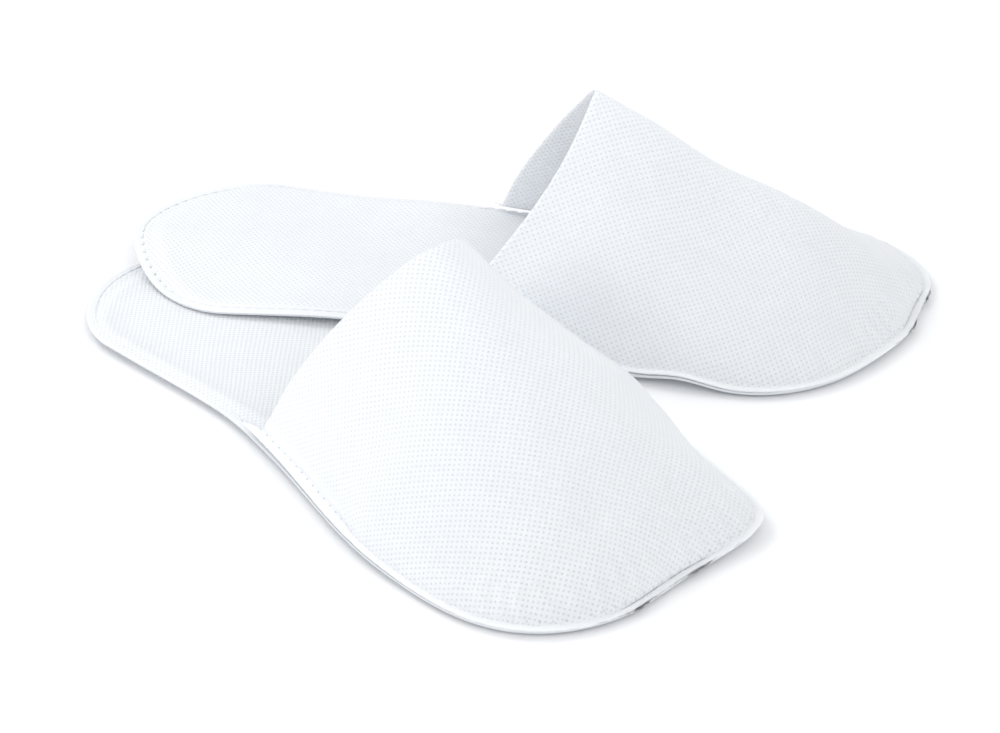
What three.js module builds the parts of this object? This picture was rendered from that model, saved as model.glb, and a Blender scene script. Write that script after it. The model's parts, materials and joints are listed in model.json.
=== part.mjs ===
// A pair of closed-toe spa slippers, sewn from white non-woven fabric over a thin foam sole.
// The pair lies as it is put down: the rear slipper's heel rests on the front slipper's heel.
// Units are millimetres, +Z is up, and the floor is z = 0.
//
// Each slipper is drawn in its own frame: u runs from heel to toe, v across it, z up.
// One slipper is the other one's mirror image, so the same code builds both.
import * as THREE from 'three';

// ---- Driving dimensions ----
const LENGTH = 286;
const HEEL = { u: 42, half: 46, power: 1.85 };
const WAIST = { u: 102, half: 45.5 };
const BALL = { u: 220, half: 63.5, power: 2.75 };
const TOE_SHIFT = -9;
const END_TRIM = 0.3;

const COVER = 0.4;
const LAYER_GAP = 0.2;
const SOLE_THICKNESS = 3.8;
const SEAM_LIFT = 1.0;
const FLANGE_WIDTH = 5;
const FLANGE_SLOPE = 6;
const FOAM_INSET = 7;
const SOLE_ROWS = 14;
const VAMP_ROWS = 16;
const THREAD_STEPS = 40;
const THREAD_STATIONS = 16;

const FLEX_U = 111;
const FLEX_GAP = 0.5;

const THREAD = 0.6;
const THREAD_GAP = 0.3;
const SEAM_INSET = 3.2;
const SEAM_PINCH = 12;
const NEEDLE_CLIMB = 6;
const THREAD_SIDES = 6;

const VAMP_THICKNESS = 0.6;
const VAMP_FOOT_U = 120;
const VAMP_SEAM_INSET = 4.6;
const VAMP_TOE_DROP = 26;
const FLAT_EDGE = 0.92;
const NORMAL_STEP = 0.002;

const COLOURS = { cover: 0xf4f6fb, foam: 0xf2f1ee, thread: 0xffffff, vamp: 0xf3f6fc };

// The two slippers as they lie. `rise` lifts the heel and dies out at the ball of the foot.
// `opening` bends the vamp's cut edge, on the side of v below 0 and above it: 1 is straight.
const SLIPPERS = [
  {
    name: 'front', x: -131, y: 71.0, yaw: -0.836, side: 1, rise: 0,
    apex: { u: 168, z: 70 }, crown: 1.75, toe: 16, opening: [1.6, 1.6],
  },
  {
    name: 'rear', x: -129.5, y: 83.0, yaw: -0.212, side: -1, rise: 11,
    apex: { u: 166, z: 75 }, crown: 1.35, toe: 12, opening: [1.15, 1.6],
  },
];
const RISE_END = 212;

// ---- Outline of the sole ----
function smooth(t) {
  const c = Math.min(Math.max(t, 0), 1);
  return c * c * (3 - 2 * c);
}

function roundEnd(t, power) {
  return Math.pow(Math.max(1 - Math.pow(t, power), 0), 1 / power);
}

function halfWidth(u) {
  if (u < HEEL.u) return HEEL.half * roundEnd((HEEL.u - u) / HEEL.u, HEEL.power);
  if (u < WAIST.u) {
    return HEEL.half + (WAIST.half - HEEL.half) * smooth((u - HEEL.u) / (WAIST.u - HEEL.u));
  }
  if (u < BALL.u) {
    return WAIST.half + (BALL.half - WAIST.half) * smooth((u - WAIST.u) / (BALL.u - WAIST.u));
  }
  return BALL.half * roundEnd((u - BALL.u) / (LENGTH - BALL.u), BALL.power);
}

function centre(u) {
  return TOE_SHIFT * smooth((u - WAIST.u) / (LENGTH - WAIST.u));
}

// Stations from a to b, closer together towards an end of the slipper, where the outline turns.
function stations(a, b, count) {
  const list = [];
  const turnsStart = a < HEEL.u;
  const turnsEnd = b > BALL.u;
  for (let i = 0; i <= count; i += 1) {
    let t = i / count;
    if (turnsStart) t = 1 - Math.cos((t * Math.PI) / 2);
    if (turnsEnd) t = Math.sin((t * Math.PI) / 2);
    list.push(a + (b - a) * t);
  }
  return list;
}

const OUTLINE = [];
for (const u of stations(0, FLEX_U, 60)) OUTLINE.push([u, halfWidth(u)]);
for (const u of stations(FLEX_U, LENGTH, 60).slice(1)) OUTLINE.push([u, halfWidth(u)]);

// Distance from a point on the sole to the nearer edge.
function edgeDistance(u, v) {
  const across = Math.abs(v - centre(u));
  let best = Infinity;
  for (let i = 1; i < OUTLINE.length; i += 1) {
    const [u0, w0] = OUTLINE[i - 1];
    const [u1, w1] = OUTLINE[i];
    const du = u1 - u0;
    const dw = w1 - w0;
    const along = ((u - u0) * du + (across - w0) * dw) / (du * du + dw * dw);
    const t = Math.min(Math.max(along, 0), 1);
    best = Math.min(best, Math.hypot(u - u0 - t * du, across - w0 - t * dw));
  }
  return across > halfWidth(u) ? 0 : best;
}

// ---- Heights through the sole: 0 at the seamed edge, 1 on the full thickness ----
function padding(u, v) {
  return smooth((edgeDistance(u, v) - FLANGE_WIDTH) / FLANGE_SLOPE);
}

const FLANGE_TOP = SEAM_LIFT + 2 * COVER + LAYER_GAP;
const outsoleBottom = (u, v) => SEAM_LIFT * (1 - padding(u, v));
const outsoleTop = (u, v) => outsoleBottom(u, v) + COVER;
const insoleTop = (u, v) => FLANGE_TOP + (SOLE_THICKNESS - FLANGE_TOP) * padding(u, v);
const insoleBottom = (u, v) => insoleTop(u, v) - COVER;
const foamBottom = (u, v) => outsoleTop(u, v) + LAYER_GAP;
const foamTop = (u, v) => insoleBottom(u, v) - LAYER_GAP;

function riseAt(slipper, u) {
  return slipper.rise * Math.max(1 - u / RISE_END, 0);
}

// ---- Closed solids from two matching grids of points ----
function shell(under, over) {
  const rows = under.length;
  const columns = under[0].length;
  const positions = [];
  for (const point of [...under.flat(), ...over.flat()]) positions.push(...point);
  const at = (layer, i, j) => (layer * rows + i) * columns + j;
  const faces = [];
  const quad = (a, b, c, d) => faces.push(a, b, c, a, c, d);
  for (let i = 0; i + 1 < rows; i += 1) {
    for (let j = 0; j + 1 < columns; j += 1) {
      quad(at(1, i, j), at(1, i + 1, j), at(1, i + 1, j + 1), at(1, i, j + 1));
      quad(at(0, i, j), at(0, i, j + 1), at(0, i + 1, j + 1), at(0, i + 1, j));
    }
    quad(at(0, i, 0), at(0, i + 1, 0), at(1, i + 1, 0), at(1, i, 0));
    quad(at(0, i, columns - 1), at(1, i, columns - 1), at(1, i + 1, columns - 1), at(0, i + 1, columns - 1));
  }
  for (let j = 0; j + 1 < columns; j += 1) {
    quad(at(0, 0, j), at(1, 0, j), at(1, 0, j + 1), at(0, 0, j + 1));
    quad(at(0, rows - 1, j), at(0, rows - 1, j + 1), at(1, rows - 1, j + 1), at(1, rows - 1, j));
  }
  return { positions, faces };
}

// A mesh in the slipper's frame. The mirrored slipper turns its faces round again.
function solid(slipper, name, colour, { positions, faces }) {
  const mirrored = slipper.side < 0;
  const points = positions.map((value, index) => (index % 3 === 1 ? value * slipper.side : value));
  const order = [];
  for (let i = 0; i < faces.length; i += 3) {
    const [a, b, c] = faces.slice(i, i + 3);
    order.push(...(mirrored ? [a, c, b] : [a, b, c]));
  }
  const geometry = new THREE.BufferGeometry();
  geometry.setAttribute('position', new THREE.Float32BufferAttribute(points, 3));
  geometry.setIndex(order);
  geometry.computeVertexNormals();
  const material = new THREE.MeshStandardMaterial({ color: colour, roughness: 0.9, metalness: 0 });
  const mesh = new THREE.Mesh(geometry, material);
  mesh.name = `${slipper.name}_${name}`;
  return mesh;
}

// ---- Sole layers ----
// Columns across the sole, set by their distance from the edge, so that the seam's slope is kept.
const COLUMN_DEPTHS = [0, FLANGE_WIDTH, FOAM_INSET, FLANGE_WIDTH + FLANGE_SLOPE];

function columnsAcross(u, inset) {
  const half = halfWidth(u);
  const squeeze = Math.min(1, half / (FLANGE_WIDTH + 2 * FLANGE_SLOPE));
  const depths = COLUMN_DEPTHS.filter((depth) => depth >= inset);
  const left = depths.map((depth) => half - depth * squeeze);
  const offsets = [...left, 0, ...left.map((value) => -value).reverse()];
  return offsets.map((offset) => centre(u) + offset).reverse();
}

function layer(slipper, start, end, inset, bottom, top) {
  const all = stations(start, end, SOLE_ROWS);
  const rows = all.filter((u) => u >= inset && u <= LENGTH - inset);
  const grid = (height) => rows.map((u) => (
    columnsAcross(u, inset).map((v) => [u, v, height(u, v) + riseAt(slipper, u)])
  ));
  return shell(grid(bottom), grid(top));
}

function soleLayers(slipper) {
  const parts = [
    { name: 'heel', start: END_TRIM, end: FLEX_U - FLEX_GAP / 2 },
    { name: 'forefoot', start: FLEX_U + FLEX_GAP / 2, end: LENGTH - END_TRIM },
  ];
  const meshes = [];
  for (const { name, start, end } of parts) {
    const slab = (inset, bottom, top) => layer(slipper, start, end, inset, bottom, top);
    const outsole = slab(0, outsoleBottom, outsoleTop);
    const foam = slab(FOAM_INSET, foamBottom, foamTop);
    const insole = slab(0, insoleBottom, insoleTop);
    meshes.push(solid(slipper, `outsole_${name}`, COLOURS.cover, outsole));
    meshes.push(solid(slipper, `foam_${name}`, COLOURS.foam, foam));
    meshes.push(solid(slipper, `insole_${name}`, COLOURS.cover, insole));
  }
  return meshes;
}

// ---- Vamp: one cloth sewn down round the toe, standing up in an arch over the foot space ----
function crownHeight(slipper, u) {
  const { apex, toe } = slipper;
  const along = (u - apex.u) / (LENGTH - apex.u);
  const ridge = apex.z + (toe - apex.z) * along;
  const beforeToeSeam = (LENGTH - VAMP_SEAM_INSET - u) / VAMP_TOE_DROP;
  const drop = roundEnd(1 - Math.min(Math.max(beforeToeSeam, 0), 1), 2);
  return (ridge - FLANGE_TOP) * drop;
}

function openingAt(slipper, s) {
  const power = slipper.opening[s < 0 ? 0 : 1];
  return VAMP_FOOT_U + (slipper.apex.u - VAMP_FOOT_U) * (1 - Math.pow(Math.abs(s), power));
}

function vampPoint(slipper, s, t) {
  const start = openingAt(slipper, s);
  const u = start + (LENGTH - END_TRIM - start) * Math.sin((t * Math.PI) / 2);
  const v = centre(u) + s * halfWidth(u);
  const inner = Math.max(halfWidth(u) - VAMP_SEAM_INSET, 1);
  const r = Math.min(Math.abs(v - centre(u)) / inner, 1);
  const arch = crownHeight(slipper, u) * (1 - Math.pow(r, slipper.crown));
  const base = insoleTop(u, v) + LAYER_GAP * (1 + padding(u, v));
  return new THREE.Vector3(u, v, base + arch + riseAt(slipper, u));
}

// The direction that the cloth faces. Along the sewn edge it lies flat on the sole.
function vampNormal(slipper, s, t) {
  if (Math.abs(s) > FLAT_EDGE || t === 1) return new THREE.Vector3(0, 0, 1);
  const point = vampPoint(slipper, s, t);
  const inwards = s > 0 ? -NORMAL_STEP : NORMAL_STEP;
  const onwards = t > 0 ? -NORMAL_STEP : NORMAL_STEP;
  const alongS = vampPoint(slipper, s + inwards, t).sub(point);
  const alongT = vampPoint(slipper, s, t + onwards).sub(point);
  const normal = alongS.cross(alongT).normalize();
  return normal.z < 0 ? normal.negate() : normal;
}

// Shares of the half width, closer together where the arch comes down to the seam.
const VAMP_COLUMNS = [0, 0.14, 0.3, 0.46, 0.62, 0.76, 0.86, 0.925, 1];

function vamp(slipper) {
  const mirrored = VAMP_COLUMNS.slice(1).map((value) => -value).reverse();
  const across = [...mirrored, ...VAMP_COLUMNS];
  const under = [];
  const over = [];
  for (let i = 0; i <= VAMP_ROWS; i += 1) {
    const t = i / VAMP_ROWS;
    const row = across.map((s) => vampPoint(slipper, s, t));
    const outside = row.map((point, j) => (
      point.clone().addScaledVector(vampNormal(slipper, across[j], t), VAMP_THICKNESS)
    ));
    under.push(row.map((point) => point.toArray()));
    over.push(outside.map((point) => point.toArray()));
  }
  return solid(slipper, 'vamp', COLOURS.vamp, shell(under, over));
}

// ---- Seam threads: the needle thread runs on top of the edge, the bobbin thread under it ----
function seamPath(slipper, start, end, height) {
  const points = [];
  const side = (u, sign) => {
    const inset = SEAM_INSET * Math.min(1, halfWidth(u) / SEAM_PINCH);
    points.push([u, centre(u) + sign * (halfWidth(u) - inset), height(u) + riseAt(slipper, u)]);
  };
  const list = stations(start, end, THREAD_STATIONS);
  const outward = start < HEEL.u ? list.slice().reverse() : list;
  for (const u of outward) side(u, 1);
  for (const u of outward.slice().reverse()) side(u, -1);
  return points.map((point) => new THREE.Vector3(...point));
}

function threadSection() {
  const shape = new THREE.Shape();
  for (let i = 0; i < THREAD_SIDES; i += 1) {
    const angle = (i / THREAD_SIDES) * Math.PI * 2;
    const x = Math.cos(angle) * (THREAD / 2);
    const y = Math.sin(angle) * (THREAD / 2);
    if (i === 0) shape.moveTo(x, y);
    else shape.lineTo(x, y);
  }
  shape.closePath();
  return shape;
}

function thread(slipper, name, start, end, height) {
  const path = new THREE.CatmullRomCurve3(seamPath(slipper, start, end, height));
  const geometry = new THREE.ExtrudeGeometry(threadSection(), {
    extrudePath: path, steps: THREAD_STEPS, bevelEnabled: false,
  });
  const positions = Array.from(geometry.attributes.position.array);
  const faces = positions.filter((_, index) => index % 3 === 0).map((_, index) => index);
  return solid(slipper, name, COLOURS.thread, { positions, faces });
}

function needleHeight(u) {
  const onVamp = smooth((u - (VAMP_FOOT_U - NEEDLE_CLIMB)) / NEEDLE_CLIMB);
  return FLANGE_TOP + THREAD_GAP + THREAD / 2 + onVamp * (LAYER_GAP + VAMP_THICKNESS);
}

function bobbinHeight() {
  return SEAM_LIFT - THREAD_GAP - THREAD / 2;
}

function seamThreads(slipper) {
  const heelStart = SEAM_INSET;
  const heelEnd = FLEX_U - FLEX_GAP;
  const frontStart = FLEX_U + FLEX_GAP;
  const frontEnd = LENGTH - SEAM_INSET;
  return [
    thread(slipper, 'needle_thread_heel', heelStart, heelEnd, needleHeight),
    thread(slipper, 'bobbin_thread_heel', heelStart, heelEnd, bobbinHeight),
    thread(slipper, 'needle_thread_forefoot', frontStart, frontEnd, needleHeight),
    thread(slipper, 'bobbin_thread_forefoot', frontStart, frontEnd, bobbinHeight),
  ];
}

// ---- The pair, centred over the floor ----
const pair = new THREE.Group();
for (const slipper of SLIPPERS) {
  const group = new THREE.Group();
  group.add(...soleLayers(slipper));
  group.add(vamp(slipper));
  group.add(...seamThreads(slipper));
  group.position.set(slipper.x, slipper.y, 0);
  group.rotation.z = slipper.yaw;
  pair.add(group);
}
const box = new THREE.Box3().setFromObject(pair, true);
const middle = box.getCenter(new THREE.Vector3());
pair.position.set(-middle.x, -middle.y, -box.min.z);

export default pair;
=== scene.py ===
"""A pair of closed-toe spa slippers: white embossed non-woven cloth over a thin foam sole.

The front slipper lies flat. The rear one's heel rests on the front one's heel.
Each slipper is worked out in its own frame, in millimetres: u runs from heel to toe,
v across it and z up. The rear slipper is the front one's mirror image, so v changes sign.
"""

import json
import math

import bmesh
import bpy
import numpy as np
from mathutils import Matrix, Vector
from mathutils.kdtree import KDTree


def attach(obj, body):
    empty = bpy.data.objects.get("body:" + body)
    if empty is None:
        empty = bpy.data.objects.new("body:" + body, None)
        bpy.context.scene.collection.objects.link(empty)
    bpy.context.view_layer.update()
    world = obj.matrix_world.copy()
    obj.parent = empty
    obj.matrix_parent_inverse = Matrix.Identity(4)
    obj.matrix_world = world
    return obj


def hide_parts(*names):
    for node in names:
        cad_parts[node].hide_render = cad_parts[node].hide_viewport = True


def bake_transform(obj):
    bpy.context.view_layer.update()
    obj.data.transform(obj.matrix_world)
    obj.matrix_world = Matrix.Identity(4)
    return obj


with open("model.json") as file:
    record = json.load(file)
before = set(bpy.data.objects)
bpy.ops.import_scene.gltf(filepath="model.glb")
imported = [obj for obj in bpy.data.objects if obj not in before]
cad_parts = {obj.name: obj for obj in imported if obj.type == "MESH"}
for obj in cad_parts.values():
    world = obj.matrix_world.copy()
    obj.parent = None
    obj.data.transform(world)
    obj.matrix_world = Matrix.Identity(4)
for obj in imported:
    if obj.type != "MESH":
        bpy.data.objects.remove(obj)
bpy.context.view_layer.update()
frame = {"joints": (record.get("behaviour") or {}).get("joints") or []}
MM = 0.001

# ---- Sizes of the slipper, the same as the model's ----
LENGTH = 286.0
HEEL_U, HEEL_HALF, HEEL_POWER = 42.0, 46.0, 1.85
WAIST_U, WAIST_HALF = 102.0, 45.5
BALL_U, BALL_HALF, BALL_POWER = 220.0, 63.5, 2.75
TOE_SHIFT = -9.0
COVER = 0.4
LAYER_GAP = 0.2
SOLE_THICKNESS = 3.8
SEAM_LIFT = 1.0
FLANGE_TOP = SEAM_LIFT + 2 * COVER + LAYER_GAP
FLANGE_WIDTH = 5.0
FLANGE_SLOPE = 6.0
FOAM_INSET = 7.0
SEAM_INSET = 3.2
STITCH = 4.4
THREAD = 0.5
VAMP_THICKNESS = 0.55
VAMP_FOOT_U = 120.0
VAMP_SEAM_INSET = 4.6
VAMP_TOE_DROP = 26.0
VAMP_END = LENGTH - 0.3
FLEX_U = 111.0
RISE_END = 212.0
# The middle line that the rings of a sole's mesh close in on, from one u to another.
SPINE_START, SPINE_END = 36, 242
FOAM_POINTS = 360
POINTS_PER_STITCH = 4

# Where hands and packing have pulled each slipper out of its pattern shape:
# (u, v, du, dv, dz, radius), a soft push of everything round (u, v).
FRONT_PUSHES = [
    (285, 6, -4.0, 0.0, 0.6, 20),
    (277, 34, 1.5, 2.5, 1.6, 12),
    (248, 54, 0.0, -1.5, 0.0, 12),
    (222, -68, 0.0, 1.5, 0.0, 24),
    (0, 0, -2.6, 0.0, 0.0, 26),
]
REAR_PUSHES = [
    (277, 25, -6.5, -7.0, 0.8, 24),
    (284, -12, -1.8, 0.0, 0.0, 12),
    (235, 58, 0.0, 3.0, 0.0, 16),
    (266, -58, -0.5, 1.2, 0.0, 16),
    (208, 58, 0.0, 0.0, 2.6, 9),
    (106, -46, 0.0, 0.0, 3.4, 20),
    (0, 0, -2.6, 0.0, 0.0, 26),
]
# Dents and bulges of the vamp, along its own outward direction: (u, v, depth, radius).
FRONT_DENTS = [
    (262, -20, -2.0, 13),
    (240, 22, 2.2, 20),
    (205, -38, 1.6, 22),
    (268, 12, -1.2, 8),
    (212, 33, 4.0, 17),
]
REAR_DENTS = [
    (208, 20, -6.0, 13),
    (236, 6, 1.6, 15),
    (176, 40, 3.0, 15),
    (256, 22, 2.6, 13),
    (252, -30, -2.5, 14),
]
# How far the near edge of the heel hangs down and the far edge stands up.
HEEL_DROOP, HEEL_CURL = 6.8, 1.5
# How far the front slipper's near side stands off the floor at its edge.
SIDE_CURL = 1.4


def smooth(t):
    c = np.clip(t, 0, 1)
    return c * c * (3 - 2 * c)


def round_end(t, power):
    return np.maximum(1 - np.clip(t, 0, None) ** power, 0) ** (1 / power)


def half_width(u):
    heel = HEEL_HALF * round_end((HEEL_U - u) / HEEL_U, HEEL_POWER)
    waist = HEEL_HALF + (WAIST_HALF - HEEL_HALF) * smooth((u - HEEL_U) / (WAIST_U - HEEL_U))
    ball = WAIST_HALF + (BALL_HALF - WAIST_HALF) * smooth((u - WAIST_U) / (BALL_U - WAIST_U))
    toe = BALL_HALF * round_end((u - BALL_U) / (LENGTH - BALL_U), BALL_POWER)
    return np.select([u < HEEL_U, u < WAIST_U, u < BALL_U], [heel, waist, ball], toe)


def centre(u):
    return TOE_SHIFT * smooth((u - WAIST_U) / (LENGTH - WAIST_U))


def ripples(x, y, wavelength, seed):
    """Gentle unevenness with no direction, about -1 to 1, the same on every run."""
    dice = np.random.default_rng(seed)
    total = 0
    for turn, phase, stretch in dice.random((8, 3)):
        k = 2 * math.pi / (wavelength * (0.75 + 0.6 * stretch))
        along = x * math.cos(2 * math.pi * turn) + y * math.sin(2 * math.pi * turn)
        total = total + np.sin(k * along + 2 * math.pi * phase)
    return total / 3.2


def arc_lengths(points):
    steps = np.linalg.norm(np.diff(points, axis=0), axis=1)
    return np.concatenate([[0], np.cumsum(steps)])


def inward_from(edge):
    """The direction into the sole at each point of its edge, one unit long."""
    after = np.roll(edge, -1, 0) - np.roll(edge, 1, 0)
    inward = np.stack([-after[:, 1], after[:, 0]], 1)
    return inward / np.linalg.norm(inward, axis=1)[:, None]


def polygon_area(points):
    """The area inside a closed line of points in mm, in square metres."""
    x, y = np.transpose(points)
    return float(abs(np.dot(x, np.roll(y, -1)) - np.dot(y, np.roll(x, -1))) / 2) * MM * MM


def outline(count):
    """The sole's edge in plan, as evenly spaced points from the heel's end round to it again."""
    t = np.linspace(0, math.pi, 4001)
    u = LENGTH * (1 - np.cos(t)) / 2
    near = np.stack([u, centre(u) - half_width(u)], 1)
    far = np.stack([u, centre(u) + half_width(u)], 1)[::-1]
    loop = np.concatenate([near, far[1:]])
    arc = arc_lengths(loop)
    even = np.linspace(0, arc[-1], count, endpoint=False)
    return np.stack([np.interp(even, arc, loop[:, i]) for i in (0, 1)], 1), arc[-1]


EDGE, PERIMETER = outline(3200)
STITCHES = round(PERIMETER / STITCH)
EDGE_TREE = KDTree(len(EDGE))
for number, (edge_u, edge_v) in enumerate(EDGE):
    EDGE_TREE.insert((edge_u, edge_v, 0), number)
EDGE_TREE.balance()


def edge_place(u, v):
    """How far a point is from the sole's edge, in mm, and how far round the edge, in stitches."""
    found = [EDGE_TREE.find((a, b, 0)) for a, b in zip(np.ravel(u), np.ravel(v))]
    depth = np.array([distance for _, _, distance in found])
    turn = np.array([number for _, number, _ in found]) / len(EDGE) * STITCHES
    return depth.reshape(np.shape(u)), turn.reshape(np.shape(u))


# ---- Heights through the sandwich, as the model has them, with what sewing does to them ----
def open_seam(slipper, u, v):
    """1 where the edge lies flat with its stitches in sight, 0 where the padding rolls over them.

    It is flat round the end of the heel, along the front slipper's near side behind the ball
    of the foot, and partly at the tip of the toe."""
    heel = 1 - smooth((u - 10) / 24)
    toe = 0.3 * smooth((u - 262) / 14)
    side = smooth(-v / 10) * smooth((u - 100) / 25) * (1 - smooth((u - 180) / 22))
    if slipper["name"] == "rear":
        side = 0 * u
    return np.maximum(np.maximum(heel, toe), side)


def padding(depth, opened=1.0):
    flange = 1.0 + (FLANGE_WIDTH - 1.0) * opened
    return smooth((depth - flange) / FLANGE_SLOPE)


def sewn_dip(depth, turn):
    """The seam pulls the cloth down along its line, most of all where the needle went in."""
    pull = 0.62 + 0.38 * np.cos(2 * math.pi * turn)
    line = np.exp(-((depth - SEAM_INSET) / 0.75) ** 2)
    puff = np.exp(-((depth - 1.7) / 0.8) ** 2) + np.exp(-((depth - 5.2) / 1.2) ** 2)
    return 0.15 * puff - 0.22 * pull * line


def rim_roll(depth, radius):
    """A pressed edge rounds off over its last millimetre."""
    t = np.clip(1 - depth / radius, 0, 1)
    return 1 - np.sqrt(1 - t * t)


def insole_height(slipper, u, v, depth, turn):
    opened = open_seam(slipper, u, v)
    pad = padding(depth, opened)
    flat = FLANGE_TOP + (SOLE_THICKNESS - FLANGE_TOP) * pad
    soft = 0.12 * pad * ripples(u, v, 46, 5)
    bare = (1 - smooth((u - VAMP_FOOT_U + 6) / 6)) * (0.25 + 0.75 * opened)
    return flat + soft + bare * sewn_dip(depth, turn) - 0.4 * rim_roll(depth, 1.0)


def outsole_height(slipper, u, v, depth, turn):
    lift = SEAM_LIFT * (1 - padding(depth))
    dip = 0.3 * np.exp(-((depth - SEAM_INSET) / 0.75) ** 2)
    return lift + dip + 0.1 * rim_roll(depth, 0.9)


# ---- The two slippers as the model lays them ----
JOINTS = {joint["name"]: joint for joint in frame["joints"]}


def laid(name, side, rise, apex, opening, crown, toe, pushes, dents, seed):
    joint = JOINTS[f"{name}_flex"]
    axis = joint["axis"]
    along = np.array([-axis[1], axis[0]]) * side
    along = along / np.linalg.norm(along)
    origin = np.array(joint["pos_m"][:2]) / MM - FLEX_U * along
    return {
        "name": name, "side": side, "rise": rise, "apex_u": apex[0], "apex_z": apex[1],
        "opening": opening, "crown": crown, "toe": toe, "pushes": pushes, "dents": dents,
        "seed": seed, "along": along, "origin": origin,
    }


SLIPPERS = [
    laid("front", 1, 0.0, (168.0, 70.0), (1.85, 1.6), 1.75, 16.0, FRONT_PUSHES, FRONT_DENTS, 11),
    laid("rear", -1, 11.0, (166.0, 74.8), (1.38, 1.85), 1.35, 14.0, REAR_PUSHES, REAR_DENTS, 23),
]


def heel_hang(slipper, u, v):
    """The rear heel lies loose over the front one: its near edge hangs, its far edge stands up."""
    if slipper["rise"] == 0:
        return 0 * u
    at_heel = 1 - smooth((u - 12) / 92)
    near = smooth(v / 38)
    far = np.clip(-v / HEEL_HALF, 0, 1) ** 1.5
    return at_heel * (HEEL_CURL * far - HEEL_DROOP * near)


def placed(slipper, points):
    """Points of the slipper's own frame, pushed out of shape and laid where the model has them."""
    u, v, z = np.array(points, float).T
    z = z + slipper["rise"] * np.maximum(1 - u / RISE_END, 0) + heel_hang(slipper, u, v)
    near_edge = np.exp(-(edge_place(u, v)[0] / 9) ** 2)
    curl = 0.35 * (1 + ripples(u, v, 70, slipper["seed"]))
    if slipper["name"] == "front":
        curl = curl + SIDE_CURL * smooth(-v / 25) * (1 - smooth((u - 190) / 45))
    z = z + curl * near_edge
    shift_u, shift_v, shift_z = 0, 0, 0
    for at_u, at_v, du, dv, dz, radius in slipper["pushes"]:
        near = np.exp(-((u - at_u) ** 2 + (v - at_v) ** 2) / (2 * radius ** 2))
        shift_u = shift_u + du * near
        shift_v = shift_v + dv * near
        shift_z = shift_z + dz * near
    shift_v = shift_v + 0.5 * ripples(u, v, 60, slipper["seed"] + 1)
    shift_u = shift_u + 0.4 * ripples(u, v, 55, slipper["seed"] + 2)
    along = slipper["along"]
    across = np.array([-along[1], along[0]]) * slipper["side"]
    plan = slipper["origin"] + np.outer(u + shift_u, along) + np.outer(v + shift_v, across)
    return np.column_stack([plan, z + shift_z]) * MM


# ---- Meshes ----
def linked(name, mesh):
    """A new object with this mesh, in the scene."""
    piece = bpy.data.objects.new(name, mesh)
    bpy.context.scene.collection.objects.link(piece)
    return piece


def shade_smooth(mesh):
    mesh.polygons.foreach_set("use_smooth", np.ones(len(mesh.polygons), bool))
    mesh.update()


def surface(name, points, quads, maps):
    """A sheet facing up. maps holds each UV map as one pair for every corner of every face."""
    mesh = bpy.data.meshes.new(name)
    a, b, c = points[quads[:, 0]], points[quads[:, 1]], points[quads[:, 2]]
    if np.cross(b - a, c - a)[:, 2].sum() < 0:
        quads = quads[:, ::-1]
        maps = {label: values[:, ::-1] for label, values in maps.items()}
    mesh.from_pydata(points.tolist(), [], quads.tolist())
    for label, values in maps.items():
        layer = mesh.uv_layers.new(name=label)
        layer.uv.foreach_set("vector", np.ascontiguousarray(values, np.float32).ravel())
    shade_smooth(mesh)
    return linked(name, mesh)


def as_plain_mesh(piece):
    """Turns what the modifiers make into the piece's own mesh and takes the modifiers off."""
    evaluated = piece.evaluated_get(bpy.context.evaluated_depsgraph_get())
    mesh = bpy.data.meshes.new_from_object(evaluated)
    piece.modifiers.clear()
    old = piece.data
    piece.data = mesh
    mesh.name = piece.name
    bpy.data.meshes.remove(old)
    return piece


def thicken(piece, thickness, outwards):
    wall = piece.modifiers.new("cloth", "SOLIDIFY")
    wall.thickness = thickness * MM
    wall.offset = 1 if outwards else -1
    return as_plain_mesh(piece)


def disc(count, depths, inner):
    """Plan points of a sole in rings: `depths` mm in from the edge, then `inner` to the middle.

    Returns the points, the quads, and for every corner of a quad how far round the edge it is, in
    stitches, so that the map closes."""
    edge, _ = outline(count)
    inward = inward_from(edge)
    middle_u = SPINE_START + edge[:, 0] * (SPINE_END - SPINE_START) / LENGTH
    middle = np.stack([middle_u, centre(middle_u)], 1)
    way = middle - edge
    reach = np.linalg.norm(way, axis=1)
    way /= reach[:, None]
    slant = np.maximum((way * inward).sum(1), 0.45)
    rings = [edge + way * (depth / slant)[:, None] for depth in depths]
    last = rings[-1]
    for i in range(1, inner + 1):
        rings.append(last + (middle - last) * i / (inner + 1))
    k = np.arange(count)
    spine = middle[:count // 2 + 1]
    points = np.concatenate([*rings, spine])
    quads, turns = [], []
    for j in range(len(rings)):
        here = j * count + k
        there = j * count + (k + 1) % count
        if j + 1 < len(rings):
            deeper, deeper_next = here + count, there + count
        else:
            base = len(rings) * count
            deeper = base + np.minimum(k, count - k)
            deeper_next = base + np.minimum(k + 1, count - k - 1)
        quads.append(np.stack([here, there, deeper_next, deeper], 1))
        turns.append(np.stack([k, k + 1, k + 1, k], 1) / count * STITCHES)
    quads, turns = np.concatenate(quads), np.concatenate(turns)
    proper = np.array([len(set(q)) == 4 for q in quads.tolist()])
    return points, quads[proper], turns[proper]


# Close together at the pressed edge and on both sides of the seam.
RINGS = [
    0, 0.15, 0.4, 0.8, 1.3, 1.9, 2.5, 2.9, 3.2, 3.5, 3.9,
    4.5, 5.2, 6, 7, 8, 9, 10, 11.5, 14, 18,
]


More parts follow.
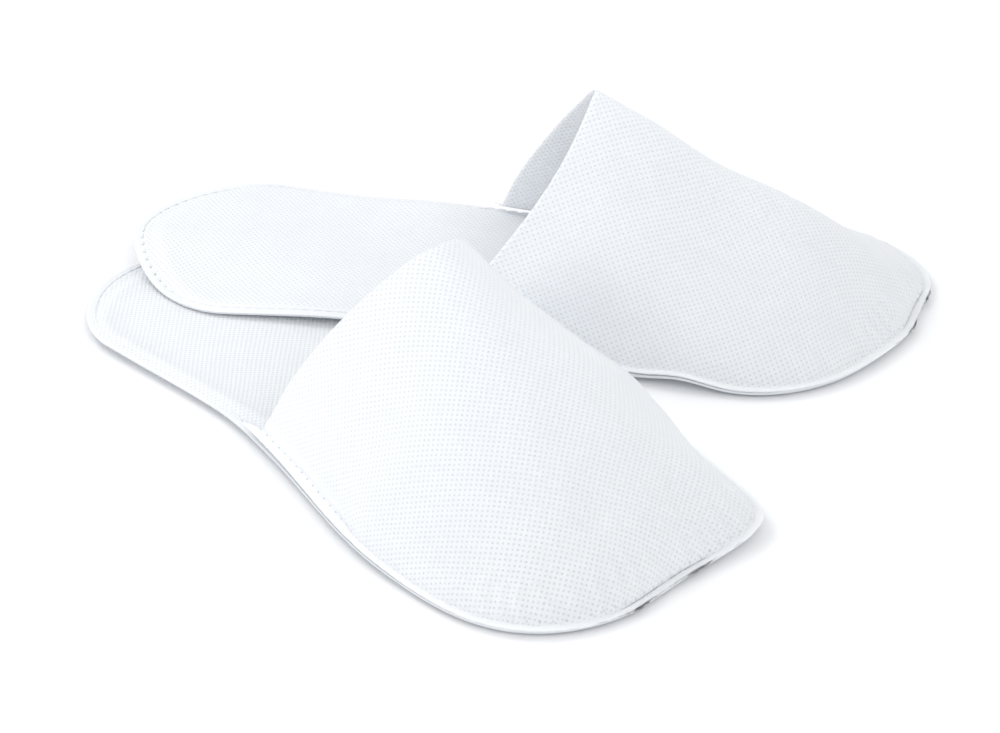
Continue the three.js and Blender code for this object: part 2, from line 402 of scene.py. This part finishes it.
def cover(slipper, name, count, height, short, outwards, material):
    """A sheet over or under the foam, sewn at its edge, cut `short` of the outline."""
    plan, quads, turns = disc(count, [depth + short for depth in RINGS], 5)
    depth, turn = edge_place(plan[:, 0], plan[:, 1])
    z = height(slipper, plan[:, 0], plan[:, 1], depth, turn)
    seam = np.stack([turns, depth[quads] * MM], 2)
    opened = open_seam(slipper, *plan.T)
    rolled = smooth(plan[:, 1] / 12) if slipper["name"] == "rear" else 0
    clear = 0.8 + 2.8 * np.maximum(opened, rolled)
    press = np.stack([smooth((depth - clear) / 1.4), 0.1 + 0.9 * opened], 1)
    points = placed(slipper, np.column_stack([plan, z]))
    piece = surface(f"{slipper['name']}_{name}", points, quads, {
        "plan": plan[quads] * MM, "seam": seam, "press": press[quads],
    })
    piece.data.materials.append(material)
    thicken(piece, COVER, outwards)
    return piece


def foam_core(slipper, material):
    """The foam between the covers, with a rounded edge."""
    plan, quads, _ = disc(FOAM_POINTS, [0, 0.5, 1.2, 2.2, 3.5, 5, 7, 10, 14], 4)
    depth, _ = edge_place(plan[:, 0], plan[:, 1])
    mid = np.array([[140.0, centre(140.0)]])
    scale_u = (LENGTH - 2 * FOAM_INSET) / LENGTH
    scale_v = (BALL_HALF - FOAM_INSET) / BALL_HALF
    inner = mid + (plan - mid) * np.array([scale_u, scale_v])
    inset, _ = edge_place(inner[:, 0], inner[:, 1])
    pad = padding(inset, open_seam(slipper, *inner.T))
    low_pad = padding(inset)
    round_off = 1 - rim_roll(depth, 1.5)
    bottom = SEAM_LIFT * (1 - low_pad) + COVER + LAYER_GAP
    top = FLANGE_TOP + (SOLE_THICKNESS - FLANGE_TOP) * pad - COVER - LAYER_GAP
    middle = (top + bottom) / 2
    low = np.column_stack([inner, middle - (middle - bottom) * round_off])
    high = np.column_stack([inner, middle + (top - middle) * round_off + 0.001])
    count = len(plan)
    ring = np.arange(FOAM_POINTS)
    follow = (ring + 1) % FOAM_POINTS
    wall = np.stack([ring, follow, follow + count, ring + count], 1)
    points = placed(slipper, np.concatenate([low, high]))
    faces = np.concatenate([quads[:, ::-1], quads + count, wall])
    mesh = bpy.data.meshes.new(f"{slipper['name']}_foam")
    mesh.from_pydata(points.tolist(), [], faces.tolist())
    shade_smooth(mesh)
    piece = linked(mesh.name, mesh)
    piece.data.materials.append(material)
    face_outwards(piece)
    return piece


def face_outwards(piece):
    work = bmesh.new()
    work.from_mesh(piece.data)
    bmesh.ops.recalc_face_normals(work, faces=work.faces)
    work.to_mesh(piece.data)
    work.free()


# ---- The vamp ----
def opening_at(slipper, s):
    """Where the cut edge over the instep starts: nearest the heel at the two feet of the arch."""
    power = np.where(s < 0, *slipper["opening"])
    bow = 1 - np.abs(s) ** power
    wave = 0.7 * np.sin(5.1 * s + slipper["seed"]) * bow
    return VAMP_FOOT_U + (slipper["apex_u"] - VAMP_FOOT_U) * bow + wave


def arch_height(slipper, u, v):
    along = (u - slipper["apex_u"]) / (LENGTH - slipper["apex_u"])
    ridge = slipper["apex_z"] + (slipper["toe"] - slipper["apex_z"]) * along
    inset = 2.4 + (VAMP_SEAM_INSET - 2.4) * open_seam(slipper, u, v)
    before_toe = (LENGTH - inset - u) / VAMP_TOE_DROP
    drop = round_end(1 - np.clip(before_toe, 0, 1), 2)
    inner = np.maximum(half_width(u) - inset, 1)
    r = np.minimum(np.abs(v - centre(u)) / inner, 1)
    soft_ridge = np.sqrt(r * r + 0.0006) - 0.0245
    arch = (ridge - FLANGE_TOP) * drop * (1 - np.clip(soft_ridge, 0, 1) ** slipper["crown"])
    fillet = 1.6
    return (np.sqrt(arch * arch + fillet ** 2) - fillet) * (1 + fillet / 60)


def vamp_grid(slipper, s, t):
    start = opening_at(slipper, s)
    u = start + (VAMP_END - start) * np.sin(t * math.pi / 2)
    v = centre(u) + s * half_width(u)
    depth, turn = edge_place(u, v)
    opened = open_seam(slipper, u, v)
    pad = padding(depth, opened)
    flange = FLANGE_TOP + (SOLE_THICKNESS - FLANGE_TOP) * pad + LAYER_GAP * (1 + pad)
    dip = (0.25 + 0.75 * opened) * sewn_dip(depth, turn)
    z = flange + arch_height(slipper, u, v) + dip
    return u, v, z - 0.5 * rim_roll(depth, 1.0), depth, turn


def sheet_normals(points):
    """Unit normals of a grid of points, turned upwards."""
    down = np.gradient(points, axis=0)
    across = np.gradient(points, axis=1)
    normal = np.cross(down, across)
    normal /= np.maximum(np.linalg.norm(normal, axis=2, keepdims=True), 1e-9)
    return normal * np.where(normal[..., 2:].sum() < 0, -1, 1)


def vamp_relief(slipper, u, v, depth, turn):
    """How far the cloth stands in or out of its even arch, in mm."""
    free = smooth((depth - 6) / 16)
    relief = 0.7 * ripples(u, v, 75, slipper["seed"] + 3)
    relief = relief + 0.22 * ripples(u, v, 26, slipper["seed"] + 4)
    for at_u, at_v, height, radius in slipper["dents"]:
        away = (u - at_u) ** 2 + (v - at_v) ** 2
        relief = relief + height * np.exp(-away / (2 * radius ** 2))
    gathers = np.sin(2 * math.pi * turn / 1.9 + 2.2 * ripples(u, v, 30, slipper["seed"] + 5))
    at_toe = smooth((u - 236) / 30) * np.exp(-((depth - 7) / 5) ** 2)
    return relief * free + 0.3 * gathers * at_toe


def flattened(points):
    """Lays a grid of points flat with its lengths kept, as the cloth was before it was sewn."""
    rows, columns = points.shape[:2]
    middle = columns // 2
    steps = np.linalg.norm(np.diff(points, axis=1), axis=2)
    arc = np.concatenate([np.zeros((rows, 1)), np.cumsum(steps, 1)], 1)
    y = arc - arc[:, middle:middle + 1]
    down = np.linalg.norm(np.diff(points[:, middle], axis=0), axis=1)
    x = points[:, :, 0].copy()
    x[:, middle] = np.concatenate([[0], np.cumsum(down)])
    x += (x[:, middle] - points[:, middle, 0])[:, None] * (np.arange(columns) != middle)
    flat = np.stack([x, y], 2)
    ties = []
    for di, dj in ((0, 1), (1, 0), (1, 1), (1, -1)):
        first = (slice(0, rows - di), slice(max(0, -dj), columns - max(0, dj)))
        second = (slice(di, rows), slice(max(0, dj), columns - max(0, -dj)))
        rest = np.linalg.norm(points[second] - points[first], axis=2)
        ties.append((first, second, rest))
    for _ in range(2500):
        move = np.zeros_like(flat)
        count = np.zeros((rows, columns, 1))
        for first, second, rest in ties:
            gap = flat[second] - flat[first]
            length = np.maximum(np.linalg.norm(gap, axis=2), 1e-6)
            pull = gap * (0.5 * (length - rest) / length)[..., None]
            move[first] += pull
            move[second] -= pull
            count[first] += 1
            count[second] += 1
        flat += 1.2 * move / count
    return flat


VAMP_ROWS, VAMP_COLUMNS = 180, 150


def vamp(slipper, material):
    """One cloth sewn down round the toe, standing up in an arch over the foot space."""
    lean = np.linspace(-1, 1, VAMP_COLUMNS + 1)
    s_line = np.sin(lean * math.pi / 2) * 0.35 + lean * 0.65
    t_line = np.linspace(0, 1, VAMP_ROWS + 1)
    s, t = np.meshgrid(s_line, t_line)
    u, v, z, depth, turn = vamp_grid(slipper, s, t)
    own = np.stack([u, v, z], 2)
    relief = vamp_relief(slipper, u, v, depth, turn)
    own = own + sheet_normals(own) * relief[..., None]
    # Unrolled on a coarser grid, which settles sooner.
    cloth = flattened(own[::6, ::5])
    cloth_fine = spread(cloth, t_line[::6], s_line[::5], t_line, s_line)
    points = placed(slipper, own.reshape(-1, 3))
    index = np.arange(points.shape[0]).reshape(u.shape)
    corners = [index[:-1, :-1], index[:-1, 1:], index[1:, 1:], index[1:, :-1]]
    quads = np.stack([c.ravel() for c in corners], 1)
    seam = np.stack([turn, depth * MM], 2).reshape(-1, 2)[quads]
    # A face over the end of the round has its low corners counted on, so that the map closes.
    half_round = STITCHES / 2
    wide = np.ptp(seam[:, :, 0], axis=1) > half_round
    round_at = seam[wide, :, 0]
    seam[wide, :, 0] = np.where(round_at < half_round, round_at + STITCHES, round_at)
    opened = open_seam(slipper, u, v)
    clear = 0.9 + 4.1 * opened ** 2
    at_toe = 0.45 * smooth((u - 258) / 14)
    shown = np.maximum(0.1 + 0.9 * opened, at_toe)
    press = np.stack([smooth((depth - clear) / 1.2), shown], 2)
    piece = surface(f"{slipper['name']}_vamp_cloth", points, quads, {
        "cloth": cloth_fine.reshape(-1, 2)[quads] * MM, "seam": seam,
        "press": press.reshape(-1, 2)[quads],
    })
    piece.data.materials.append(material)
    thicken(piece, VAMP_THICKNESS, True)
    size = np.ptp(cloth.reshape(-1, 2), axis=0) * MM
    # The area inside the unrolled pattern's own outline, not the finished mesh's.
    rim = np.concatenate([cloth[0], cloth[1:, -1], cloth[-1, -2::-1], cloth[-2:0:-1, 0]])
    return piece, (float(size[1]), float(size[0])), polygon_area(rim)


def spread(values, rows_at, columns_at, rows, columns):
    """Values of a coarse grid, drawn out evenly over a finer one."""
    wide = np.empty((len(rows_at), len(columns), values.shape[2]))
    for i in range(len(rows_at)):
        for k in range(values.shape[2]):
            wide[i, :, k] = np.interp(columns, columns_at, values[i, :, k])
    fine = np.empty((len(rows), len(columns), values.shape[2]))
    for j in range(len(columns)):
        for k in range(values.shape[2]):
            fine[:, j, k] = np.interp(rows, rows_at, wide[:, j, k])
    return fine


# ---- Seam threads, stitch by stitch ----
def add(tree, kind, values=(), **settings):
    """Adds a node, sets it up, and joins or fills its inputs: (input, socket or value) pairs."""
    made = tree.nodes.new(kind)
    for key, value in settings.items():
        setattr(made, key, value)
    for key, value in values:
        if isinstance(value, bpy.types.NodeSocket):
            tree.links.new(value, made.inputs[key])
        else:
            made.inputs[key].default_value = value
    return made


def maths(tree, operation, *values):
    """A Math node's result for these sockets or numbers."""
    return add(tree, "ShaderNodeMath", list(enumerate(values)), operation=operation).outputs[0]


def times(tree, first, second):
    return maths(tree, "MULTIPLY", first, second)


def stitch_tree(material):
    """Geometry nodes: one bent length of thread on every stitch of a closed line."""
    tree = bpy.data.node_groups.new("lockstitch", "GeometryNodeTree")
    tree.interface.new_socket("Line", in_out="INPUT", socket_type="NodeSocketGeometry")
    for name, kind in (
        ("Stitches", "NodeSocketInt"), ("Stitch length", "NodeSocketFloat"),
        ("Thread diameter", "NodeSocketFloat"), ("Bow", "NodeSocketFloat"),
    ):
        tree.interface.new_socket(name, in_out="INPUT", socket_type=kind)
    tree.interface.new_socket("Thread", in_out="OUTPUT", socket_type="NodeSocketGeometry")
    given = add(tree, "NodeGroupInput").outputs
    line = add(tree, "GeometryNodeMeshToCurve", [(0, given["Line"])]).outputs[0]
    even = add(tree, "GeometryNodeResampleCurve", [
        (0, line), ("Count", given["Stitches"]),
    ]).outputs[0]
    half = times(tree, given["Stitch length"], 0.5)
    back = times(tree, half, -1.0)
    sink = times(tree, given["Bow"], -0.8)
    start = add(tree, "ShaderNodeCombineXYZ", [(0, back), (2, sink)]).outputs[0]
    top = add(tree, "ShaderNodeCombineXYZ", [(2, given["Bow"])]).outputs[0]
    end = add(tree, "ShaderNodeCombineXYZ", [(0, half), (2, sink)]).outputs[0]
    bend = add(tree, "GeometryNodeCurveQuadraticBezier", [
        ("Resolution", 6), ("Start", start), ("Middle", top), ("End", end),
    ])
    ring = add(tree, "GeometryNodeCurvePrimitiveCircle", [
        ("Resolution", 6), ("Radius", times(tree, given["Thread diameter"], 0.5)),
    ])
    strand = add(tree, "GeometryNodeCurveToMesh", [
        (0, bend.outputs[0]), (1, ring.outputs[0]), ("Fill Caps", True),
    ])
    tangent = add(tree, "GeometryNodeInputTangent").outputs[0]
    turn = add(tree, "FunctionNodeAlignRotationToVector", [
        ("Vector", tangent),
    ], axis="X", pivot_axis="Z")
    laid_out = add(tree, "GeometryNodeInstanceOnPoints", [
        ("Points", even), ("Instance", strand.outputs[0]), ("Rotation", turn.outputs[0]),
    ])
    real = add(tree, "GeometryNodeRealizeInstances", [(0, laid_out.outputs[0])])
    finish = add(tree, "GeometryNodeSetMaterial", [(0, real.outputs[0])])
    finish.inputs["Material"].default_value = material
    add(tree, "NodeGroupOutput", [(0, finish.outputs[0])])
    return tree


def seam_thread(slipper, name, tree, height, bow):
    """The needle thread on top of the edge, or the bobbin thread under it."""
    count = STITCHES * POINTS_PER_STITCH
    edge, _ = outline(count)
    # Half a stitch on from the needle holes, so that each stitch spans two of them.
    path = np.roll(edge + inward_from(edge) * SEAM_INSET, -POINTS_PER_STITCH // 2, 0)
    u, v = path.T
    points = placed(slipper, np.column_stack([path, height(slipper, u, v)]))
    mesh = bpy.data.meshes.new(f"{slipper['name']}_{name}")
    edges = [(i, (i + 1) % count) for i in range(count)]
    mesh.from_pydata(points.tolist(), edges, [])
    piece = linked(mesh.name, mesh)
    maker = piece.modifiers.new("stitches", "NODES")
    maker.node_group = tree
    sizes = {
        "Stitches": STITCHES, "Stitch length": (STITCH - 0.6) * MM,
        "Thread diameter": THREAD * MM, "Bow": bow * MM,
    }
    for item in tree.interface.items_tree:
        if item.item_type == "SOCKET" and item.name in sizes:
            maker[item.identifier] = sizes[item.name]
    as_plain_mesh(piece)
    shade_smooth(piece.data)
    return piece


def needle_height(slipper, u, v):
    on_vamp = smooth((u - VAMP_FOOT_U + 6) / 6)
    pad = padding(SEAM_INSET, open_seam(slipper, u, v))
    cloth = FLANGE_TOP + (SOLE_THICKNESS - FLANGE_TOP) * pad
    return cloth + 0.08 + on_vamp * (LAYER_GAP + VAMP_THICKNESS)


def bobbin_height(slipper, u, v):
    return SEAM_LIFT + 0 * u


# ---- Materials ----
def linear(code):
    """An sRGB hex colour as linear light."""
    values = [int(code[i:i + 2], 16) / 255 for i in (1, 3, 5)]
    return (*[c / 12.92 if c <= 0.04045 else ((c + 0.055) / 1.055) ** 2.4 for c in values], 1)


def new_material(name, colour, roughness):
    material = bpy.data.materials.new(name)
    material.use_nodes = True
    material.diffuse_color = linear(colour)
    shader = material.node_tree.nodes["Principled BSDF"]
    shader.inputs["Base Color"].default_value = linear(colour)
    shader.inputs["Roughness"].default_value = roughness
    shader.inputs["Specular IOR Level"].default_value = 0.25
    return material, material.node_tree, shader


def lattice(tree, uv, angle, pitch, inner, outer):
    """1 in the middle of every cell of a grid of pressed points, 0 on the puffed cloth between."""
    where = add(tree, "ShaderNodeUVMap", uv_map=uv).outputs[0]
    grid = add(tree, "ShaderNodeMapping", [
        ("Vector", where), ("Rotation", (0, 0, angle)), ("Scale", (pitch * MM, pitch * MM, 1)),
    ], vector_type="TEXTURE")
    cell = add(tree, "ShaderNodeVectorMath", [(0, grid.outputs[0])], operation="FRACTION")
    offset = add(tree, "ShaderNodeVectorMath", [
        (0, cell.outputs[0]), (1, (0.5, 0.5, 0)),
    ], operation="SUBTRACT")
    flat = add(tree, "ShaderNodeVectorMath", [
        (0, offset.outputs[0]), (1, (1, 1, 0)),
    ], operation="MULTIPLY")
    length = add(tree, "ShaderNodeVectorMath", [(0, flat.outputs[0])], operation="LENGTH")
    mask = add(tree, "ShaderNodeMapRange", [
        ("Value", length.outputs["Value"]), ("From Min", outer), ("From Max", inner),
    ], interpolation_type="SMOOTHSTEP")
    return mask.outputs[0]


def needle_holes(tree):
    """1 where the needle went through the cloth, read from the map along the seam."""
    where = add(tree, "ShaderNodeUVMap", uv_map="seam").outputs[0]
    shift = add(tree, "ShaderNodeVectorMath", [(0, where), (1, (0.5, 0, 0))], operation="ADD")
    split = add(tree, "ShaderNodeSeparateXYZ", [(0, shift.outputs[0])])
    step = maths(tree, "FRACT", split.outputs[0])
    along = times(tree, maths(tree, "SUBTRACT", step, 0.5), STITCH)
    off_line = maths(tree, "SUBTRACT", split.outputs[1], SEAM_INSET * MM)
    # A hole is longer along the seam than across it, by this much.
    across = times(tree, off_line, 1.35 / MM)
    off = add(tree, "ShaderNodeCombineXYZ", [(0, along), (1, across)])
    length = add(tree, "ShaderNodeVectorMath", [(0, off.outputs[0])], operation="LENGTH")
    hole = add(tree, "ShaderNodeMapRange", [
        ("Value", length.outputs["Value"]), ("From Min", 0.6), ("From Max", 0.25),
    ], interpolation_type="SMOOTHSTEP")
    return hole.outputs[0]


def sewn_cloth(name, colour, pressed, uv, angle, pitch, inner, outer, depth, through):
    """Spun-bonded polypropylene, heat-pressed in a square grid of points.

    The pressed points are thinner, smoother and darker, the cloth puffs up between them, and the
    pattern is ironed out along the sewn edge. The points' darker colour is partly the thinner
    cloth's own tone and partly painted shade in each dimple."""
    material, tree, shader = new_material(name, colour, 0.85)
    points = lattice(tree, uv, angle, pitch, inner, outer)
    press = add(tree, "ShaderNodeUVMap", uv_map="press").outputs[0]
    shown = add(tree, "ShaderNodeSeparateXYZ", [(0, press)])
    holes = times(tree, needle_holes(tree), shown.outputs[1])
    spots = times(tree, points, shown.outputs[0])
    place = add(tree, "ShaderNodeTexCoord").outputs["Object"]
    # Fibre bundles of about 0.3 mm, coarser than the real 0.02 mm fibres, so that they show.
    fibres = add(tree, "ShaderNodeTexNoise", [
        ("Vector", place), ("Scale", 1 / (0.9 * MM)), ("Detail", 3.0), ("Roughness", 0.65),
    ])
    clouds = add(tree, "ShaderNodeTexNoise", [
        ("Vector", place), ("Scale", 1 / (14 * MM)), ("Detail", 2.0), ("Roughness", 0.5),
    ])
    web = add(tree, "ShaderNodeMapRange", [
        ("Value", clouds.outputs[0]), ("From Min", 0.3), ("From Max", 0.7),
        ("To Min", 0.0), ("To Max", 1.0),
    ])
    tone = add(tree, "ShaderNodeMix", [("Factor", web.outputs[0])], data_type="RGBA")
    tone.inputs[6].default_value = linear(colour)
    tone.inputs[7].default_value = [0.975 * c for c in linear(colour)[:3]] + [1]
    # Painted shade: the pressed points' darker colour is partly the thinner cloth's own tone and
    # partly shade painted into each dimple.
    dots_with_dimple_shade = add(tree, "ShaderNodeMix", [("Factor", spots)], data_type="RGBA")
    tree.links.new(tone.outputs[2], dots_with_dimple_shade.inputs[6])
    dots_with_dimple_shade.inputs[7].default_value = linear(pressed)
    # Painted shade: the needle holes are coloured darker, standing for the shade inside them.
    needle_hole_shade = add(tree, "ShaderNodeMix", [("Factor", holes)], data_type="RGBA")
    tree.links.new(dots_with_dimple_shade.outputs[2], needle_hole_shade.inputs[6])
    needle_hole_shade.inputs[7].default_value = linear("#bcc3cf")
    tree.links.new(needle_hole_shade.outputs[2], shader.inputs["Base Color"])
    sunk = times(tree, spots, -1.0)
    fuzzy = maths(tree, "MULTIPLY_ADD", fibres.outputs[0], 0.35, sunk)
    deep = maths(tree, "MULTIPLY_ADD", holes, -0.8, fuzzy)
    relief = add(tree, "ShaderNodeBump", [
        ("Strength", 0.9), ("Distance", depth * MM), ("Height", deep),
    ])
    tree.links.new(relief.outputs[0], shader.inputs["Normal"])
    # Half a millimetre of loose white fibre lets light through where nothing lies behind it.
    shader.inputs["Subsurface Weight"].default_value = through
    shader.inputs["Subsurface Radius"].default_value = (1.0, 1.0, 1.0)
    shader.inputs["Subsurface Scale"].default_value = 1.2 * MM
    return material


def foam_material():
    """Closed-cell EVA foam, die-cut: matt, with fine open cells where it was cut."""
    material, tree, shader = new_material("die_cut_eva_foam", "#ecebe7", 0.7)
    place = add(tree, "ShaderNodeTexCoord").outputs["Object"]
    cells = add(tree, "ShaderNodeTexVoronoi", [("Vector", place), ("Scale", 1 / (0.5 * MM))])
    relief = add(tree, "ShaderNodeBump", [
        ("Strength", 0.5), ("Distance", 0.1 * MM), ("Height", cells.outputs["Distance"]),
    ])
    tree.links.new(relief.outputs[0], shader.inputs["Normal"])
    return material


def thread_material():
    """Spun polyester sewing thread: matt white, with the slant of its twist."""
    material, tree, shader = new_material("spun_polyester_thread", "#eff2f5", 0.75)
    place = add(tree, "ShaderNodeTexCoord").outputs["Object"]
    twist = add(tree, "ShaderNodeTexWave", [
        ("Vector", place), ("Scale", 1 / (1.1 * MM)), ("Distortion", 1.5),
    ], bands_direction="DIAGONAL")
    relief = add(tree, "ShaderNodeBump", [
        ("Strength", 0.5), ("Distance", 0.08 * MM), ("Height", twist.outputs["Fac"]),
    ])
    tree.links.new(relief.outputs[0], shader.inputs["Normal"])
    return material


# Coarse dimples in rows that cross the toe, and light comes through: it reads as thin cloth.
VAMP_CLOTH = sewn_cloth(
    "point_bonded_polypropylene_vamp", "#ebeef2", "#dcdfe5", "cloth", math.radians(45),
    pitch=1.68, inner=0.04, outer=0.34, depth=0.3, through=1.0)
# A finer, flatter grid, so that the bed looks smoother than the vamp.
INSOLE_CLOTH = sewn_cloth(
    "fine_bonded_polypropylene_insole", "#eef0f2", "#dde2e8", "plan", math.radians(-43),
    pitch=1.55, inner=0.05, outer=0.4, depth=0.16, through=0.0)
# The coarsest and greyest of the three, which wears underfoot.
OUTSOLE_CLOTH = sewn_cloth(
    "coarse_bonded_polypropylene_outsole", "#eaeef2", "#d3d9e1", "plan", math.radians(-45),
    pitch=2.4, inner=0.12, outer=0.42, depth=0.25, through=0.0)
FOAM = foam_material()
THREAD_FINISH = thread_material()


# ---- Putting the slippers together ----
def bend_with(piece):
    """Bakes the piece's placement into its mesh. The real sole bends at the waist, between the
    heel's body and the forefoot's, but the piece is left attached to neither body.
    """
    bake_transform(piece)


def nodes_of(slipper, part):
    """The model's two nodes of a layer, which one whole piece stands for."""
    return [f"{slipper['name']}_{part}_heel", f"{slipper['name']}_{part}_forefoot"]


stitches = stitch_tree(THREAD_FINISH)
SOLE_AREA = polygon_area(outline(900)[0])

for slipper in SLIPPERS:
    name = slipper["name"]
    outsole = cover(slipper, "outsole", 720, outsole_height, 0.5, True, OUTSOLE_CLOTH)
    insole = cover(slipper, "insole", 1080, insole_height, 0.2, False, INSOLE_CLOTH)
    foam = foam_core(slipper, FOAM)
    upper, upper_flat, upper_area = vamp(slipper, VAMP_CLOTH)
    needle = seam_thread(slipper, "needle_thread", stitches, needle_height, 0.22)
    bobbin = seam_thread(slipper, "bobbin_thread", stitches, bobbin_height, -0.2)
    for piece, part, finish in (
        (outsole, "outsole", "outsole_fabric"), (insole, "insole", "insole_fabric"),
        (foam, "foam", "foam_core"), (needle, "needle_thread", "seam_thread"),
        (bobbin, "bobbin_thread", "seam_thread"),
    ):
        bend_with(piece)
        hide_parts(*nodes_of(slipper, part))
    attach(upper, f"{name}_forefoot")
    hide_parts(f"{name}_vamp")

# ---- Floor, light and camera ----
floor_mesh = bpy.data.meshes.new("floor")
floor_mesh.from_pydata([(-6, -6, 0), (6, -6, 0), (6, 6, 0), (-6, 6, 0)], [], [(0, 1, 2, 3)])
floor = linked("floor", floor_mesh)
floor_material, _, _ = new_material("white_sweep_paper", "#f9f9fa", 1.0)
floor_mesh.materials.append(floor_material)

world = bpy.data.worlds.new("white studio")
world.use_nodes = True
world.node_tree.nodes["Background"].inputs["Color"].default_value = linear("#fdfeff")
world.node_tree.nodes["Background"].inputs["Strength"].default_value = 0.88
bpy.context.scene.world = world


def softbox(name, place, size, power, colour):
    """A square soft light that looks at the pair."""
    lamp = bpy.data.lights.new(name, "AREA")
    lamp.shape = "SQUARE"
    lamp.size = size
    lamp.energy = power
    lamp.color = linear(colour)[:3]
    light = bpy.data.objects.new(name, lamp)
    light.location = place
    towards = Vector((0, 0, 0.03)) - Vector(place)
    light.rotation_euler = towards.to_track_quat("-Z", "Y").to_euler()
    bpy.context.scene.collection.objects.link(light)


softbox("key", (-0.9, 0.7, 1.3), 0.8, 5.8, "#ffffff")
softbox("left", (-1.3, -0.7, 0.6), 0.8, 4.0, "#ffffff")
softbox("front", (0.5, -1.2, 1.2), 0.8, 5.0, "#ffffff")

CAMERA_TILT = math.radians(28.938)
CAMERA_DISTANCE = 1.14348
CAMERA_AIM = (-0.00473, 0.02493, 0.0)
camera_data = bpy.data.cameras.new("camera")
camera_data.lens = 119.366
camera_data.sensor_width = 36
camera = bpy.data.objects.new("camera", camera_data)
back, up = math.cos(CAMERA_TILT), math.sin(CAMERA_TILT)
camera.location = Vector(CAMERA_AIM) + CAMERA_DISTANCE * Vector((0, -back, up))
camera.rotation_euler = (math.pi / 2 - CAMERA_TILT, 0, 0)
bpy.context.scene.collection.objects.link(camera)
bpy.context.scene.camera = camera
bpy.context.scene.view_settings.view_transform = "Standard"
